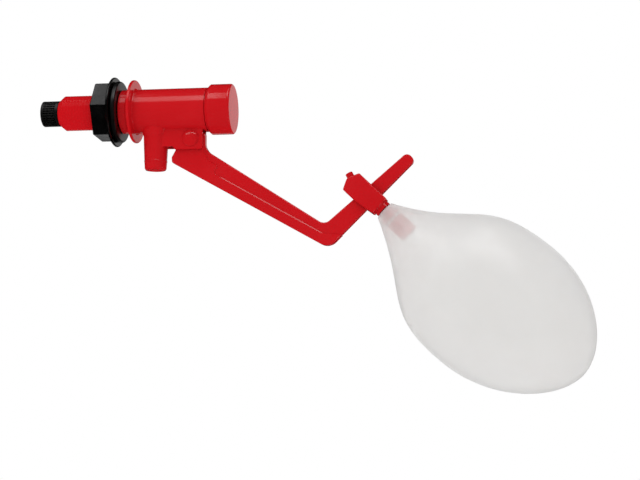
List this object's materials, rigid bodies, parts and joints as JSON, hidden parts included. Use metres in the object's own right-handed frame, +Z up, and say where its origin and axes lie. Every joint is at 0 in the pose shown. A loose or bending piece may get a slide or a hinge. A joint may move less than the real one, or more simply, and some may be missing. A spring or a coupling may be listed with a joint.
{
  "type": "float valve",
  "caption": "Lever-operated float valve: threaded inlet with strainer and backnut, barrel with outlet spout, pivoted arm, and an egg-shaped float on a sliding clamp.",
  "frame": {"origin": "on the valve axis, in the shoulder face that seats on the tank wall's washer", "axes": "+X along the barrel towards the end cap and the float, +Z up, Y across the lever; valve fully open, float down"},
  "size_m": [0.3276, 0.0908, 0.1889],
  "materials": {
    "red_plastic": "smooth moulded, satin to gloss",
    "black_plastic": "smooth moulded, semi-gloss",
    "strainer_plastic": "moulded, dull",
    "screen_mesh": "fine woven nylon",
    "black_rubber": "moulded rubber, dull with a soft sheen",
    "pale_silicone": "moulded silicone, satin",
    "white_acetal": "machined, satin",
    "brass": "turned",
    "stainless_steel": "stamped spring steel",
    "translucent_float": "blow-moulded milky polyethylene, translucent"
  },
  "bodies": {
    "valve": {"valve_body": "red_plastic", "end_cap": "red_plastic", "seat_nozzle": "brass", "seat_nozzle_oring": "black_rubber", "pivot_pin": "red_plastic", "pin_clip": "stainless_steel", "wall_washer": "black_rubber"},
    "backnut": {"backnut": "black_plastic"},
    "strainer": {"inlet_strainer": "strainer_plastic", "strainer_screen": "screen_mesh"},
    "piston_set": {"piston": "white_acetal", "piston_seal": "black_rubber", "seal_retainer": "brass", "piston_oring": "black_rubber"},
    "lever": {"lever_arm": "red_plastic"},
    "float_set": {"float_clamp": "red_plastic", "float_plug": "red_plastic", "plug_oring": "pale_silicone", "float_shell": "translucent_float"},
    "set_screw": {"clamp_screw": "red_plastic"}
  },
  "joints": [
    {"name": "lever_swing", "type": "hinge", "parent": "valve", "child": "lever", "pos_m": [0.0428, 0, -0.0177], "axis": [0, -1, 0], "range_deg": [0, 24]},
    {"name": "piston_slide", "type": "slide", "parent": "valve", "child": "piston_set", "axis": [-1, 0, 0], "range_m": [0, 0.0073]},
    {"name": "clamp_slide", "type": "slide", "parent": "lever", "child": "float_set", "axis": [0.7443, 0, 0.6678], "range_m": [-0.003, 0.015]},
    {"name": "set_screw_turn", "type": "hinge", "parent": "float_set", "child": "set_screw", "pos_m": [0.13833, 0, -0.0426], "axis": [-0.4848, 0, 0.8746], "continuous": true},
    {"name": "backnut_travel", "type": "slide", "parent": "valve", "child": "backnut", "axis": [-1, 0, 0], "range_m": [0, 0.016]},
    {"name": "strainer_pull", "type": "slide", "parent": "valve", "child": "strainer", "axis": [-1, 0, 0], "range_m": [0, 0.009]}
  ],
  "couplings": [
    {"joint": "piston_slide", "follows": "lever_swing", "m_per_rad": 0.016876}
  ]
}
